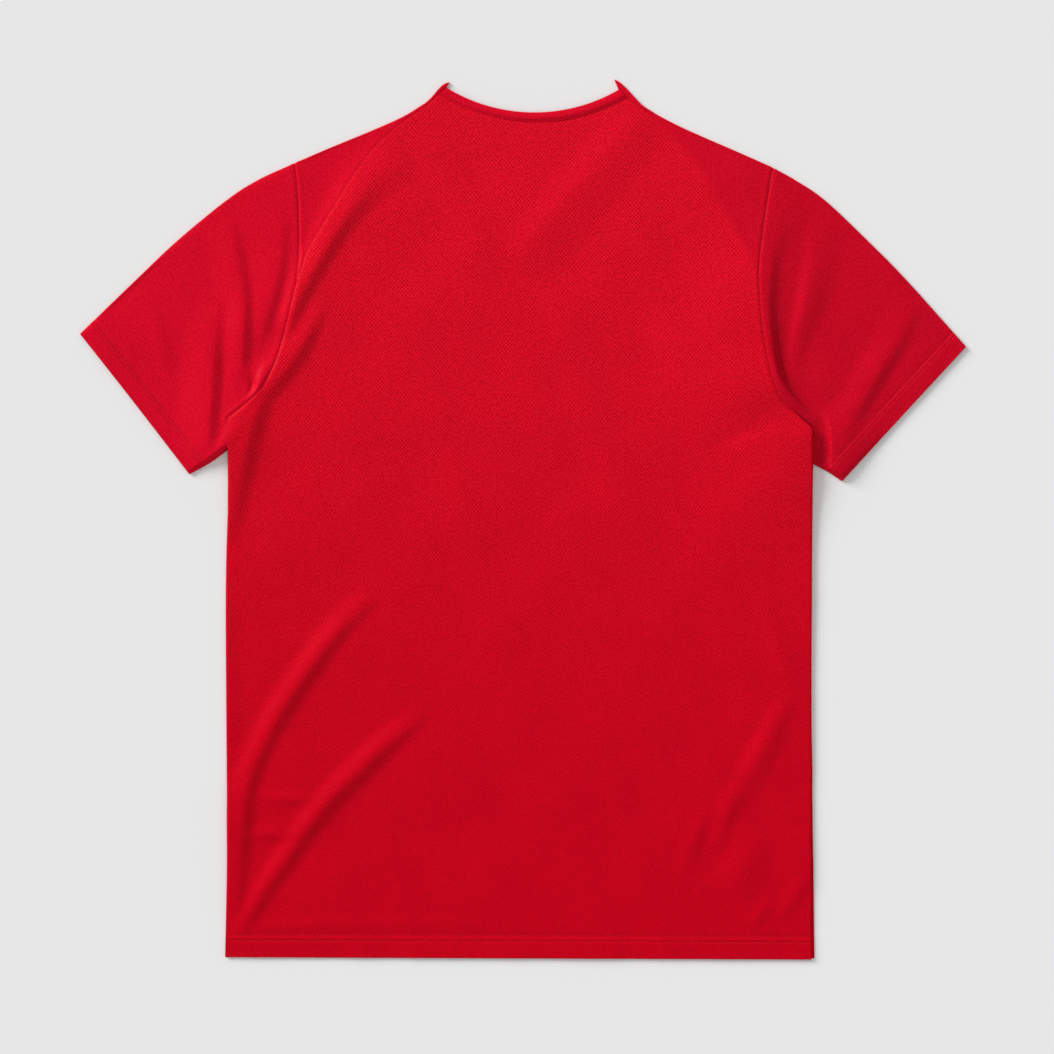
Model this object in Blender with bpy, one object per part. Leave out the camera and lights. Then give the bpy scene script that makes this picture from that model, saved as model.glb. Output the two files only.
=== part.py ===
"""Short-sleeved training top, laid out flat on its front with its back facing up.

Metres, +Z up. X runs across the garment and Y from the hem towards the neck. The origin is on the
surface it lies on, under the middle of its outline. Plan tables and sizes are in millimetres and
become metres where a piece's points are made.
"""

from collections import namedtuple

import bmesh
import bpy
import numpy as np

MM = 0.001

# Driving sizes, mm
CLOTH = 1.0  # thickness of one layer of knit
LAYER_GAP = 0.3  # air between the front layer and the back layer
SEAM_GAP = 0.3  # between two pieces at a seam
BINDING = 1.5  # thickness of the back neck binding, which is folded over
HEM_DEPTH = 20.0  # turned-up hem of the body
CUFF_DEPTH = 17.0  # turned-up hem of the sleeves
HEM_RISE = 0.5  # how far a turned-up hem stands above the cloth beside it
EDGE_ROLL = 8.0  # the cloth comes down to the lower layer over this width at the outline

BACK_TOP = 2 * CLOTH + LAYER_GAP  # upper face of the back layer where it lies flat

# How finely each stretch is divided
BODY_COLUMNS = 60
SIDE_ROWS = 54  # hem to underarm
ARMHOLE_STEPS = 14  # underarm to the foot of the shoulder piece
YOKE_END_STEPS = 8  # foot of the shoulder piece to the shoulder
YOKE_STEPS = 20  # foot of the shoulder piece to the neck
SLEEVE_ROWS = 28  # armhole to cuff
UNDERARM_STEPS = 6  # sleeve along the body below the underarm
NECK_STEPS = 14  # half of the neck
TIP_STEPS = 2  # the collar's pointed end, as far as the neck binding
FOLD_STEPS = 4  # round a folded edge
RIM_STEPS = 24  # each line of the outline
CREST_STEPS = 40  # a fold's crest

# Plan lines as (x, y) in mm. A smooth curve runs through each line's points.
PLAN = {
    "left": {
        "side": [(-254.5, -373.5), (-253, -270), (-254, -70), (-252, 20), (-252, 87)],
        "armhole": [(-252, 87), (-239, 97.5), (-227, 108), (-215.5, 126), (-205.5, 154), (-193.5, 203)],
        "yoke_end": [(-193.5, 203), (-191.5, 233), (-192, 273), (-195, 305)],
        "yoke_seam": [(-193.5, 203), (-184, 230), (-162.5, 266), (-137.5, 305), (-112, 332.5), (-82.5, 353.5)],
        "neck_corner": [(-82.5, 353.5), (-77, 358.5), (-72, 363.5)],
        "shoulder": [(-84, 356), (-102, 345), (-125, 334.5), (-170, 316), (-195, 305)],
        "collar_end": [(-63.3, 374.1), (-67.5, 372.5), (-72, 368.6), (-78.5, 361), (-84, 356)],
        "sleeve_top": [(-195, 305), (-226.5, 290.5), (-253, 273.5), (-295, 239), (-331, 205), (-378.5, 159)],
        "cuff": [(-378.5, 159), (-334, 102.5), (-285, 39)],
        "underarm": [(-252, 60), (-267, 49), (-285, 39)],
    },
    "right": {
        "side": [(246.5, -375.5), (246.5, -150), (247, 29), (247.5, 78)],
        "armhole": [(247.5, 78), (235, 89), (225, 98.5), (217, 109.5), (208.5, 138.5), (203, 175), (201, 210)],
        "yoke_end": [(201, 210), (203, 233), (209.5, 278.5), (213.5, 301)],
        "yoke_seam": [(201, 210), (180, 251), (157, 291.5), (142.5, 313), (126.5, 329), (105, 348.5)],
        "neck_corner": [(105, 348.5), (97, 354.5), (89, 360.5)],
        "shoulder": [(105.5, 352), (118, 344.5), (140, 333.5), (180, 316), (213.5, 301)],
        "collar_end": [(78.5, 376.3), (83, 373.8), (89, 368.2), (100, 356.4), (105.5, 352)],
        "sleeve_top": [(213.5, 301), (232.5, 290.5), (257.5, 273.5), (294, 239), (327.5, 205), (378.5, 148)],
        "cuff": [(378.5, 148), (322, 87), (272.5, 33)],
        "underarm": [(247.5, 48), (260.5, 41), (272.5, 33)],
    },
}
FRONT_HEM_CORNER = (249, -374.5)  # the front's right corner shows past the back's
BACK_NECK_TOP = [(-65.5, 369.5), (12, 348.2), (81.5, 367.7)]  # left, lowest and right points of an arc
BACK_NECK_SEAM = [(-72, 363.5), (12, 340), (89, 360.5)]
V_POINT = (-9, 228)  # lowest point of the front collar's seam
V_INNER = (-6, 262)  # lowest point of its open edge
HORN_TIP = 1.2  # width of the collar's pointed ends

# Folds in the back layer, in mm: how wide the slopes to the left and the right of the crest are, as it is
# drawn, at even steps along it, and the crest's points, each with the height there
Fold = namedtuple("Fold", "left right crest")
FOLDS = {
    "left shoulder": Fold(
        (26, 19, 11, 9, 8), (32, 30, 20, 16, 11),
        [
            (-92, 311, 0), (-114, 301, 1.6), (-136, 284, 3.1), (-154, 260, 3.8), (-170, 230, 3.6),
            (-186, 200, 3.1), (-197, 174, 2.5), (-203, 154, 0),
        ],
    ),
    "left underarm, upper": Fold(
        (8, 11, 9), (14, 16, 16),
        [(-170, 185, 0), (-179, 169, 1.3), (-189, 151, 3.0), (-200, 134, 3.2), (-212, 119, 2.4), (-223, 106, 0)],
    ),
    "left underarm": Fold(
        (10, 14, 14, 11), (30, 60, 60),
        [
            (-206, 132, 0), (-217, 116, 1.6), (-227, 97, 3.6), (-235, 75, 4.5), (-240, 50, 4.2), (-245, 24, 3.0),
            (-249, 0, 1.5), (-251, -25, 0),
        ],
    ),
    "left waist": Fold(
        (12, 12, 12), (17, 18, 17),
        [
            (-126, -62, 0), (-138, -74, 1.4), (-160.5, -97, 3.1), (-182, -126, 3.6), (-205, -160, 3.6),
            (-222, -191, 3.3), (-233, -217, 2.1), (-240, -244, 0),
        ],
    ),
    "left waist, lower": Fold(
        (12, 11, 11), (60, 60),
        [
            (-222, -191, 0), (-233, -217, 1.3), (-238, -240, 3.0), (-241, -266, 3.1), (-243, -292, 2.5),
            (-246, -320, 1.6), (-250, -345, 0),
        ],
    ),
    "left hem": Fold(
        (12, 13, 12, 9), (15, 18, 15, 10),
        [
            (-82, -163, 0), (-98, -176, 1.6), (-120, -194, 3.1), (-142, -216, 3.5), (-165, -239, 3.5),
            (-186, -265, 3.3), (-204, -291, 3.0), (-221, -316, 2.4), (-236, -341, 1.5), (-246, -358, 0),
        ],
    ),
    "right waist": Fold(
        (13, 18, 19, 14), (13, 15, 16),
        [(228, -146, 0), (219, -165, 1.5), (208, -188, 2.3), (196, -210, 2.1), (184, -233, 1.3), (170, -260, 0)],
    ),
    "right hem": Fold(
        (20, 25, 25), (24, 24),
        [(206, -264, 0), (199, -277, 1.4), (190, -292, 2.1), (181, -307, 1.8), (170, -324, 0)],
    ),
    "right shoulder blade": Fold(
        (14, 22, 36, 44), (20, 30, 50, 60),
        [(100, 178, 0), (124, 157, 1.2), (150, 137, 1.9), (178, 119, 2.5), (206, 104, 2.0), (236, 88, 0)],
    ),
    "collar under the back, right": Fold(
        (22, 24, 24), (17, 19, 18),
        [(112, 352, 0), (96, 337, 0.9), (60, 297, 1.1), (24, 256, 1.2), (2, 231, 1.0), (-12, 214, 0)],
    ),
    "collar under the back, left": Fold(
        (14, 16, 16), (36, 40, 36),
        [(-96, 328, 0), (-82, 308, 0.5), (-58, 272, 0.7), (-34, 236, 0.7), (-18, 212, 0)],
    ),
    "left sleeve, inner": Fold(
        (10, 9, 10), (22, 22),
        [(-205, 272, 0), (-207, 250, 1.7), (-208, 222, 2.7), (-213, 196, 2.5), (-221, 170, 1.9), (-230, 146, 0)],
    ),
    "left sleeve, middle": Fold(
        (10, 10, 9), (17, 16, 15),
        [
            (-256, 258, 0), (-248, 236, 1.4), (-242, 210, 2.7), (-239, 180, 3.7), (-239, 150, 3.8),
            (-241, 124, 2.2), (-244, 104, 0),
        ],
    ),
    "left sleeve, outer": Fold(
        (8, 9, 9), (15, 15, 14),
        [
            (-261, 205, 0), (-262, 185, 1.2), (-264, 158, 2.7), (-265, 126, 3.5), (-267, 94, 3.3),
            (-269, 68, 1.9), (-271, 48, 0),
        ],
    ),
    "right armhole": Fold(
        (44, 40, 32, 26, 18, 12, 10), (100, 100, 80, 50),
        [
            (214, 312, 0), (211, 284, 1.2), (207, 248, 1.8), (204, 214, 1.8), (204, 178, 1.6), (209, 141, 1.4),
            (221, 111, 1.0), (240, 88, 0.5), (262, 70, 0),
        ],
    ),
    "right armhole, valley's edge": Fold(
        (22, 20, 12, 9, 9, 9, 8), (18, 14, 10, 9, 8),
        [
            (218, 262, 0), (212, 240, 1.0), (209, 212, 2.4), (208, 180, 3.8), (210, 156, 4.3), (212.5, 137, 4.6),
            (215.5, 121, 4.8), (223, 107, 4.2), (232, 97, 3.0), (246, 86, 1.4), (262, 80, 0),
        ],
    ),
    "right sleeve, inner": Fold(
        (15, 15), (14, 14),
        [(240, 256, 0), (242, 232, 0.8), (242, 206, 1.4), (241, 179, 1.7), (237, 152, 1.3), (230, 126, 0)],
    ),
    "right sleeve, cuff": Fold(
        (13, 12, 11), (28, 26, 26),
        [
            (335, 188, 0), (326, 169, 1.5), (316, 148, 2.6), (302, 126, 3.0), (288, 101, 2.6), (278, 84, 1.4),
            (269, 68, 0),
        ],
    ),
}

KNIT_RED = (0.594, 0.005, 0.018, 1.0)
MESH_RED = (0.571, 0.003, 0.014, 1.0)


def clear_scene():
    for obj in list(bpy.data.objects):
        bpy.data.objects.remove(obj)


def travelled(line):
    """Length of a line up to each of its points."""
    steps = np.linalg.norm(np.diff(line, axis=0), axis=1)
    return np.concatenate([[0.0], np.cumsum(steps)])


def length(line):
    return travelled(line)[-1]


def fractions(line):
    """Share of a line's length at each of its points."""
    return travelled(line) / length(line)


def spaced(line, steps):
    """The line as points that are evenly spaced along it."""
    share, even = fractions(line), np.linspace(0, 1, steps + 1)
    return np.stack([np.interp(even, share, values) for values in line.T], axis=1)


def curve(points, steps, fine=24):
    """Evenly spaced points on a Catmull-Rom curve through the given ones."""
    p = np.asarray(points, float)
    p = np.vstack([2 * p[0] - p[1], p, 2 * p[-1] - p[-2]])
    t = np.linspace(0, 1, fine, endpoint=False)[:, None]
    stretches = []
    for a, b, c, d in zip(p, p[1:], p[2:], p[3:]):
        stretches.append(
            0.5 * (2 * b + (c - a) * t + (2 * a - 5 * b + 4 * c - d) * t**2 + (3 * b - a - 3 * c + d) * t**3)
        )
    return spaced(np.vstack([*stretches, p[-2]]), steps)


def arc(points, steps):
    """Evenly spaced points on the circle's arc through a left, a lowest and a right point."""
    (ax, ay), (bx, by), (cx, cy) = points
    turn = 2 * (ax * (by - cy) + bx * (cy - ay) + cx * (ay - by))
    a2, b2, c2 = ax**2 + ay**2, bx**2 + by**2, cx**2 + cy**2
    centre = np.array(
        [
            (a2 * (by - cy) + b2 * (cy - ay) + c2 * (ay - by)) / turn,
            (a2 * (cx - bx) + b2 * (ax - cx) + c2 * (bx - ax)) / turn,
        ]
    )
    radius = np.hypot(ax - centre[0], ay - centre[1])
    start, end = (np.arctan2(y - centre[1], x - centre[0]) for x, y in (points[0], points[2]))
    angles = np.linspace(start, end, steps + 1)
    return centre + radius * np.stack([np.cos(angles), np.sin(angles)], axis=1)


def joined(*lines):
    """Lines that follow one another as one line, with each shared point once."""
    return np.vstack([lines[0], *(line[1:] for line in lines[1:])])


def patch(across_start, across_end, along_first, along_last):
    """Plan points between four border lines: rows[row, column], running from one across line to the other."""
    u = ((fractions(across_start) + fractions(across_end)) / 2)[None, :, None]
    v = ((fractions(along_first) + fractions(along_last)) / 2)[:, None, None]
    ruled_along = (1 - v) * across_start[None] + v * across_end[None]
    ruled_across = (1 - u) * along_first[:, None] + u * along_last[:, None]
    corners = (1 - v) * ((1 - u) * across_start[0] + u * across_start[-1]) + v * (
        (1 - u) * across_end[0] + u * across_end[-1]
    )
    return ruled_along + ruled_across - corners


def border(rows):
    """Row and column indices round a grid's edge, once round."""
    height, width = rows.shape[:2]
    loop = [(0, i) for i in range(width)] + [(j, width - 1) for j in range(1, height)]
    loop += [(height - 1, i) for i in range(width - 2, -1, -1)] + [(j, 0) for j in range(height - 2, 0, -1)]
    return tuple(np.array(loop).T)


def drawn_in(rows, distance=SEAM_GAP / 2):
    """The grid with its edge moved in by a distance, so that its neighbours keep a seam's gap."""
    loop = border(rows)
    edge = rows[loop]
    ahead = np.roll(edge, -1, axis=0) - edge
    area = np.sum(edge[:, 0] * np.roll(edge[:, 1], -1) - np.roll(edge[:, 0], -1) * edge[:, 1]) / 2
    normal = np.stack([-ahead[:, 1], ahead[:, 0]], axis=1) * np.sign(area)
    normal /= np.linalg.norm(normal, axis=1, keepdims=True)
    before = np.roll(normal, 1, axis=0)
    square = 1 + np.sum(normal * before, axis=1, keepdims=True)
    moved = rows.copy()
    moved[loop] += distance * (normal + before) / np.maximum(square, 0.3)
    return moved


def nearest(points, line):
    """For each point, its distance from a line, its side (1 to the left of it) and the length up to there."""
    a, step = line[:-1], np.diff(line, axis=0)
    passed = travelled(line)
    best = np.full(len(points), np.inf)
    side, along = np.ones(len(points)), np.zeros(len(points))
    for i in range(len(a)):
        offset = points - a[i]
        t = np.clip(offset @ step[i] / (step[i] @ step[i]), 0, 1)
        distance = np.linalg.norm(offset - t[:, None] * step[i], axis=1)
        closer = distance < best
        best[closer] = distance[closer]
        turn = step[i][0] * offset[:, 1] - step[i][1] * offset[:, 0]
        side[closer] = np.sign(turn[closer])
        along[closer] = (passed[i] + t * (passed[i + 1] - passed[i]))[closer]
    return best, side, along


def eased(x):
    """0 to 1 with a level start and end."""
    x = np.clip(x, 0, 1)
    return x * x * (3 - 2 * x)


def outline():
    """The whole garment's outline in plan."""
    left, right = PLAN["left"], PLAN["right"]
    names = ("collar_end", "shoulder", "sleeve_top", "cuff")
    lines = [left[name] for name in names] + [left["underarm"][::-1], left["side"][-2::-1]]
    lines += [right["side"], right["underarm"]] + [right[name][::-1] for name in reversed(names)]
    rim = np.vstack([curve(line, RIM_STEPS) for line in lines])
    moves_on = np.linalg.norm(np.diff(rim, axis=0), axis=1) > SEAM_GAP
    return rim[np.append(moves_on, True)]


def rise(points):
    """Height of the back layer above its flat level at plan points."""
    flat = points.reshape(-1, 2)
    total = np.zeros(len(flat))
    for fold in FOLDS.values():
        drawn = curve(fold.crest, CREST_STEPS)
        crest, heights = drawn[:, :2], drawn[:, 2]
        distance, side, along = nearest(flat, crest)
        left, right = (
            np.interp(along, np.linspace(0, length(crest), len(widths)), widths) for widths in (fold.left, fold.right)
        )
        across = 0.5 + 0.5 * np.cos(np.pi * np.minimum(1, distance / np.where(side > 0, left, right)))
        total += across * np.interp(along, travelled(crest), heights)
    from_rim = nearest(flat, outline())[0]
    return (total * eased(from_rim / EDGE_ROLL)).reshape(points.shape[:-1])


def slope_thickness(points, cloth=CLOTH, probe=0.5):
    """Upright thickness that gives a sloping wall the cloth's own thickness."""
    slopes = [
        (rise(points + offset) - rise(points - offset)) / (2 * probe) for offset in np.eye(2) * probe
    ]
    return cloth * np.sqrt(1 + slopes[0] ** 2 + slopes[1] ** 2)


def with_height(plan, height):
    """Plan points with a height, as points in space."""
    return np.concatenate([plan, np.broadcast_to(height, plan.shape[:-1])[..., None]], axis=-1)


def back_layer(plan, hem=0.0, cloth=CLOTH):
    """Upper and lower faces of cloth in the back layer."""
    height = rise(plan)
    top = BACK_TOP + height + hem + (cloth - CLOTH)
    under = BACK_TOP + height - slope_thickness(plan)
    return with_height(plan, top), with_height(plan, under)


def front_layer(plan):
    """Upper and lower faces of cloth in the front layer, which lies on the surface."""
    return with_height(plan, CLOTH), with_height(plan, 0.0)


def turned(plan, out, radius, quarter):
    """Points round a folded edge, from the top (quarter 1) or from the underside (quarter -1)."""
    angles = np.linspace(np.pi / 2, -np.pi / 2, FOLD_STEPS + 1)[1:-1] * quarter
    round_it = [with_height(plan + out * radius * np.cos(a), BACK_TOP / 2 + radius * np.sin(a)) for a in angles]
    return np.stack(round_it, axis=1)


def outward(plan, column):
    """Unit vectors that point out of a grid at its first or last column."""
    step = plan[:, column] - plan[:, 1 if column == 0 else -2]
    return step / np.linalg.norm(step, axis=1, keepdims=True)


def folded_skin(plan, top, under, radius, tube):
    """Rows that run along the back layer, round the folded edge and back along the front layer."""
    skin = [top[:, ::-1], turned(plan[:, 0], outward(plan, 0), radius, 1), under]
    if tube:
        skin.append(turned(plan[:, -1], outward(plan, -1), radius, -1))
    return np.concatenate(skin, axis=1)


def folded_wall(plan, tube, hem=0.0):
    """Outer and inner skins of a piece that is folded at its first column, and at its last if it is a tube."""
    radius = BACK_TOP / 2
    share = np.linspace(0, 1, plan.shape[1])[None, :, None]
    shift = -radius * (1 - share) * outward(plan, 0)[:, None]
    if tube:
        shift -= radius * share * outward(plan, -1)[:, None]
    plan = plan + shift
    back_top, back_under = back_layer(plan, hem)
    front_top, front_under = front_layer(plan)
    outer = folded_skin(plan, back_top, front_under, radius, tube)
    inner = folded_skin(plan, back_under, front_top, radius - CLOTH, tube)
    return outer, inner


def add_faces(bm, rows, wrap):
    """Faces between neighbouring rows of vertices."""
    width = len(rows[0])
    for near, far in zip(rows, rows[1:]):
        for i in range(width if wrap else width - 1):
            k = (i + 1) % width
            bm.faces.new((near[i], near[k], far[k], far[i]))


def wall(name, outer, inner, material, wrap=False):
    """A closed wall of cloth between an outer and an inner skin."""
    bm = bmesh.new()
    skins = [[[bm.verts.new(point * MM) for point in row] for row in skin] for skin in (outer, inner)]
    for skin in skins:
        add_faces(bm, skin, wrap)
    for end in (0, -1):
        add_faces(bm, [skins[0][end], skins[1][end]], wrap)
        if not wrap:
            add_faces(bm, [[row[end] for row in skin] for skin in skins], wrap)
    bmesh.ops.recalc_face_normals(bm, faces=bm.faces)
    mesh = bpy.data.meshes.new(name)
    bm.to_mesh(mesh)
    bm.free()
    mesh.shade_smooth()
    mesh.materials.append(material)
    obj = bpy.data.objects.new(name, mesh)
    bpy.context.scene.collection.objects.link(obj)
    return obj


def knit(name, colour, roughness):
    material = bpy.data.materials.new(name)
    material.use_nodes = True
    shader = material.node_tree.nodes["Principled BSDF"]
    shader.inputs["Base Color"].default_value = colour
    shader.inputs["Roughness"].default_value = roughness
    shader.inputs["Metallic"].default_value = 0.0
    return material


def body_edge(side, hem_corner, hem_row):
    """A body panel's border from the hem to the neck, with a row along the top of the hem."""
    lines = PLAN[side]
    seam = curve([hem_corner, *lines["side"][1:]], SIDE_ROWS)
    seam = np.vstack([seam[0], seam[0] + (seam[1] - seam[0]) * hem_row, seam[1:]])
    return joined(
        seam,
        curve(lines["armhole"], ARMHOLE_STEPS),
        curve(lines["yoke_seam"], YOKE_STEPS),
    )


def hem_lift(plan, depth):
    """Rise of a turned-up hem on the rows nearest the first row of a panel."""
    away = np.linalg.norm(plan - plan[:1], axis=2)
    return np.where(away < depth, HEM_RISE, 0.0)


def make_back_panel(material):
    left, right = (
        joined(body_edge(side, PLAN[side]["side"][0], 0.5), curve(PLAN[side]["neck_corner"], 2))
        for side in ("left", "right")
    )
    hem = spaced(np.array([left[0], right[0]]), BODY_COLUMNS)
    plan = drawn_in(patch(hem, arc(BACK_NECK_SEAM, BODY_COLUMNS), left, right))
    outer, inner = back_layer(plan, hem_lift(plan, HEM_DEPTH))
    return wall("back_panel", outer, inner, material)


def make_front_panel(material):
    left = body_edge("left", PLAN["left"]["side"][0], 0.5)
    right = body_edge("right", FRONT_HEM_CORNER, 0.5)
    hem = spaced(np.array([left[0], right[0]]), 2 * NECK_STEPS)
    v_neck = joined(
        spaced(np.array([left[-1], V_POINT]), NECK_STEPS), spaced(np.array([V_POINT, right[-1]]), NECK_STEPS)
    )
    plan = drawn_in(patch(hem, v_neck, left, right))
    return wall("front_panel", *front_layer(plan), material)


def make_back_neckband(material):
    top, seam = arc(BACK_NECK_TOP, 2 * NECK_STEPS), arc(BACK_NECK_SEAM, 2 * NECK_STEPS)
    plan = drawn_in(np.stack([seam, top], axis=1))
    return wall("back_neckband", *back_layer(plan, cloth=BINDING), material)


def make_front_collar(material):
    """The V of the front collar; its two ends stand out past the back's neck corners."""
    ends = [curve(PLAN[side]["collar_end"], YOKE_END_STEPS // 2) for side in ("left", "right")]
    corners = [np.array(PLAN[side]["yoke_seam"][-1]) for side in ("left", "right")]
    outer_edge = joined(
        ends[0],
        spaced(np.array([ends[0][-1], corners[0]]), 1),
        spaced(np.array([corners[0], V_POINT]), NECK_STEPS),
        spaced(np.array([V_POINT, corners[1]]), NECK_STEPS),
        spaced(np.array([corners[1], ends[1][-1]]), 1),
        ends[1][::-1],
    )
    half = len(outer_edge) // 2
    left_half, right_half = (
        joined(
            spaced(np.array([end[0] - (0, HORN_TIP), binding_corner]), TIP_STEPS),
            spaced(np.array([binding_corner, V_INNER]), half - TIP_STEPS),
        )
        for end, binding_corner in zip(ends, (BACK_NECK_TOP[0], BACK_NECK_TOP[2]))
    )
    inner_edge = joined(left_half, right_half[::-1])
    plan = drawn_in(np.stack([outer_edge, inner_edge], axis=1))
    return wall("front_collar", *front_layer(plan), material)


def make_shoulder_piece(side, material):
    """The panel that wraps over the shoulder, between the back, the front and the sleeve."""
    lines = PLAN[side]
    shoulder = curve(lines["shoulder"], YOKE_STEPS)
    seam = curve(lines["yoke_seam"], YOKE_STEPS)[::-1]
    neck_end = spaced(np.array([shoulder[0], seam[0]]), YOKE_END_STEPS)
    armhole_end = curve(lines["yoke_end"], YOKE_END_STEPS)[::-1]
    plan = drawn_in(patch(neck_end, armhole_end, shoulder, seam))
    return wall(f"shoulder_{side}", *folded_wall(plan, tube=False), material)


def make_sleeve(side, material):
    """A sleeve is a tube, pressed flat, from the armhole to the cuff."""
    lines = PLAN[side]
    armhole = joined(
        curve(lines["yoke_end"], YOKE_END_STEPS)[::-1],
        curve(lines["armhole"], ARMHOLE_STEPS)[::-1],
        spaced(np.array([lines["armhole"][0], lines["underarm"][0]]), UNDERARM_STEPS),
    )
    cuff = curve(lines["cuff"], len(armhole) - 1)
    plan = drawn_in(
        patch(armhole, cuff, curve(lines["sleeve_top"], SLEEVE_ROWS), curve(lines["underarm"], SLEEVE_ROWS))
    )
    lift = hem_lift(plan[::-1], CUFF_DEPTH)[::-1]
    lift[:, [0, -1]] = 0.0
    return wall(f"sleeve_{side}", *folded_wall(plan, True, lift), material, wrap=True)


def main():
    clear_scene()
    mesh_knit = knit("mesh_knit", MESH_RED, 0.75)
    plain_knit = knit("plain_knit", KNIT_RED, 0.7)
    make_back_panel(mesh_knit)
    make_front_panel(mesh_knit)
    make_back_neckband(plain_knit)
    make_front_collar(plain_knit)
    for side in ("left", "right"):
        make_shoulder_piece(side, plain_knit)
        make_sleeve(side, plain_knit)


main()
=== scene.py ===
import math
import random

import bmesh
import bpy
import numpy as np
from mathutils import Matrix, Vector


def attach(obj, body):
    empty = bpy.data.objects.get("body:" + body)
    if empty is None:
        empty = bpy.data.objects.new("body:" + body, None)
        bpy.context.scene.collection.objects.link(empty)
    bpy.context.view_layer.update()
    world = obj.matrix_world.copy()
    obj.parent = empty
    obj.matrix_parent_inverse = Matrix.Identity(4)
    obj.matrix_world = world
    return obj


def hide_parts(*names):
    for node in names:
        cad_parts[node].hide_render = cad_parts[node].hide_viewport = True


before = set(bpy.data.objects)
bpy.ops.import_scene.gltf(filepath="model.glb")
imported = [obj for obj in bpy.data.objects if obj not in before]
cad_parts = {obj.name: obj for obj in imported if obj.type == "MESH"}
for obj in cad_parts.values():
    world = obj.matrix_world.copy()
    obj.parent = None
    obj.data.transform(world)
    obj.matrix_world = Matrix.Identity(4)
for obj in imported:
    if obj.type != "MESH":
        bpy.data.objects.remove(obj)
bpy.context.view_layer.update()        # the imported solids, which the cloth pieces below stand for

mm = 0.001
print("frame loaded:", len(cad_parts), "solids")

# what all the cloth shares, mm
cloth = {
    "thickness": 0.6,      # one layer of knit
    "backTop": 2.3,        # upper face of the back layer where it lies flat
    "rimRoll": 2.5,        # creases die away over this width at the outline
    "sewnGap": 0.004,      # a panel's edge stays this far inside its seam's line
    "sideRadius": 0.7,     # how sharply the body folds at its sides
    "throughShare": 0.3,   # how much of a crease in the back layer the layer under it follows
    "hemFold": 0.7,        # radius of a turned-up hem's folded edge
    "pressed": 0.15,       # how much flatter than its fold a turned-up layer is pressed
    "turnSteps": 5,        # points round a folded edge
    "weld": 0.002,         # points of a tube's seam that are closer than this become one
}

# the garment's lines in plan, mm, the same as the solids have
planLines = {
    "left": {
        "side": [(-254.5, -373.5), (-253, -270), (-254, -70), (-252, 20), (-252, 60), (-252, 87)],
        "armhole": [(-252, 87), (-239, 97.5), (-227, 108), (-215.5, 126), (-205.5, 154), (-193.5, 203)],
        "yokeEnd": [(-193.5, 203), (-191.5, 233), (-192, 273), (-195, 305)],
        "yokeSeam": [
            (-193.5, 203), (-184, 230), (-162.5, 266), (-137.5, 305), (-112, 332.5), (-82.5, 353.5),
        ],
        "neckCorner": [(-82.5, 353.5), (-77, 358.5), (-72, 363.5)],
        "shoulder": [(-84, 356), (-102, 345), (-125, 334.5), (-170, 316), (-195, 305)],
        "collarEnd": [(-63.3, 374.1), (-67.5, 372.5), (-72, 368.6), (-78.5, 361), (-84, 356)],
        "sleeveTop": [(-195, 305), (-226.5, 290.5), (-253, 273.5), (-295, 239), (-331, 205), (-378.5, 159)],
        "cuff": [(-378.5, 159), (-334, 102.5), (-285, 39)],
        "underarm": [(-252, 60), (-267, 49), (-285, 39)],
    },
    "right": {
        "side": [(246.5, -375.5), (246.5, -150), (247, 20), (247.5, 48), (247.5, 78)],
        "armhole": [
            (247.5, 78), (235, 89), (225, 98.5), (217, 109.5), (208.5, 138.5), (203, 175), (201, 210),
        ],
        "yokeEnd": [(201, 210), (203, 233), (209.5, 278.5), (213.5, 301)],
        "yokeSeam": [(201, 210), (180, 251), (157, 291.5), (142.5, 313), (126.5, 329), (105, 348.5)],
        "neckCorner": [(105, 348.5), (97, 354.5), (89, 360.5)],
        "shoulder": [(105.5, 352), (118, 344.5), (140, 333.5), (180, 316), (213.5, 301)],
        "collarEnd": [(78.5, 376.3), (83, 373.8), (89, 368.2), (100, 356.4), (105.5, 352)],
        "sleeveTop": [(213.5, 301), (232.5, 290.5), (257.5, 273.5), (294, 239), (327.5, 205), (378.5, 148)],
        "cuff": [(378.5, 148), (322, 87), (272.5, 33)],
        "underarm": [(247.5, 48), (260.5, 41), (272.5, 33)],
    },
}
sides = ("left", "right")
backNeckTop = [(-65.5, 369.5), (12, 348.2), (81.5, 367.7)]    # left, lowest and right points of an arc
backNeckSeam = [(-72, 363.5), (12, 340), (89, 360.5)]

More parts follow.
